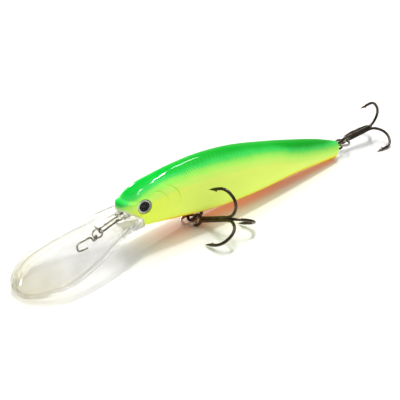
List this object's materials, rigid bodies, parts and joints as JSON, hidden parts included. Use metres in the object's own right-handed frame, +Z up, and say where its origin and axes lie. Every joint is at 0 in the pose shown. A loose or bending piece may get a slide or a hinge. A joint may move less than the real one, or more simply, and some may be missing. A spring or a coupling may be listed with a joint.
{
  "type": "crankbait lure",
  "caption": "Long-lipped diving crankbait: slim two-piece body, clear dished lip with line snap, free-swinging treble hooks on split rings.",
  "frame": {"origin": "centre of the lure's bounding box at the table it rests on", "axes": "+X from the lip towards the tail hook along the table, +Y towards the lure's right flank, +Z up from the table"},
  "size_m": [0.1222, 0.025, 0.017],
  "materials": {
    "painted_body": "gloss",
    "clear_lip": "gloss",
    "tie_steel": "polished",
    "black_nickel": "gloss",
    "ring_steel": "polished",
    "eye_foil": "foil",
    "eye_black": "gloss",
    "eye_clear": "gloss",
    "weight_metal": "satin"
  },
  "bodies": {
    "lure_body": {"left_body_shell": "painted_body", "right_body_shell": "painted_body", "diving_lip": "clear_lip", "line_tie_wire": "tie_steel", "belly_hook_hanger": "black_nickel", "tail_hook_hanger": "black_nickel", "left_eye_foil": "eye_foil", "left_eye_pupil": "eye_black", "left_eye_lens": "eye_clear", "right_eye_foil": "eye_foil", "right_eye_pupil": "eye_black", "right_eye_lens": "eye_clear", "ballast_weight": "weight_metal"},
    "tie_ring": {"line_tie_ring": "tie_steel"},
    "snap": {"line_snap": "tie_steel"},
    "belly_ring": {"belly_split_ring": "ring_steel"},
    "belly_treble": {"belly_treble_double": "black_nickel", "belly_treble_single": "black_nickel"},
    "tail_ring": {"tail_split_ring": "ring_steel"},
    "tail_treble": {"tail_treble_double": "black_nickel", "tail_treble_single": "black_nickel"},
    "front_weight": {"transfer_weight_front": "weight_metal"},
    "rear_weight": {"transfer_weight_rear": "weight_metal"},
    "rattle": {"rattle_shot": "weight_metal"}
  },
  "joints": [
    {"name": "tie_ring_swing", "type": "hinge", "parent": "lure_body", "child": "tie_ring", "pos_m": [-0.03827, 0.00413, 0.00788], "axis": [0, 1, 0], "range_deg": [0, 80]},
    {"name": "snap_swing", "type": "hinge", "parent": "tie_ring", "child": "snap", "pos_m": [-0.0402, 0.00366, 0.00684], "axis": [-0.4757, 0.8794, 0.0201], "range_deg": [0, 60]},
    {"name": "belly_ring_swing", "type": "hinge", "parent": "lure_body", "child": "belly_ring", "pos_m": [-0.01088, 0.00413, 0.00164], "axis": [0, 1, 0], "range_deg": [-75, 6]},
    {"name": "belly_treble_swing", "type": "hinge", "parent": "belly_ring", "child": "belly_treble", "pos_m": [-0.01173, 0.00171, 0.00149], "axis": [0.8202, 0.5535, 0.1446], "range_deg": [-1.5, 35]},
    {"name": "tail_ring_swing", "type": "hinge", "parent": "lure_body", "child": "tail_ring", "pos_m": [0.04357, 0.00413, 0.00329], "axis": [0, 1, 0], "range_deg": [-40, 45]},
    {"name": "tail_treble_swing", "type": "hinge", "parent": "tail_ring", "child": "tail_treble", "pos_m": [0.04698, 0.00576, 0.00323], "axis": [-0.4703, 0.8824, 0.0164], "range_deg": [-35, 35]},
    {"name": "front_weight_slide", "type": "slide", "parent": "lure_body", "child": "front_weight", "axis": [-0.992, 0, 0.1264], "range_m": [0, 0.0112]},
    {"name": "rear_weight_slide", "type": "slide", "parent": "lure_body", "child": "rear_weight", "axis": [-0.992, 0, 0.1264], "range_m": [0, 0.0112]},
    {"name": "rattle_slide", "type": "slide", "parent": "lure_body", "child": "rattle", "axis": [-0.992, 0, 0.1264], "range_m": [0, 0.0036]}
  ],
  "couplings": [
    {"joint": "rear_weight_slide", "follows": "front_weight_slide", "ratio": 1}
  ]
}
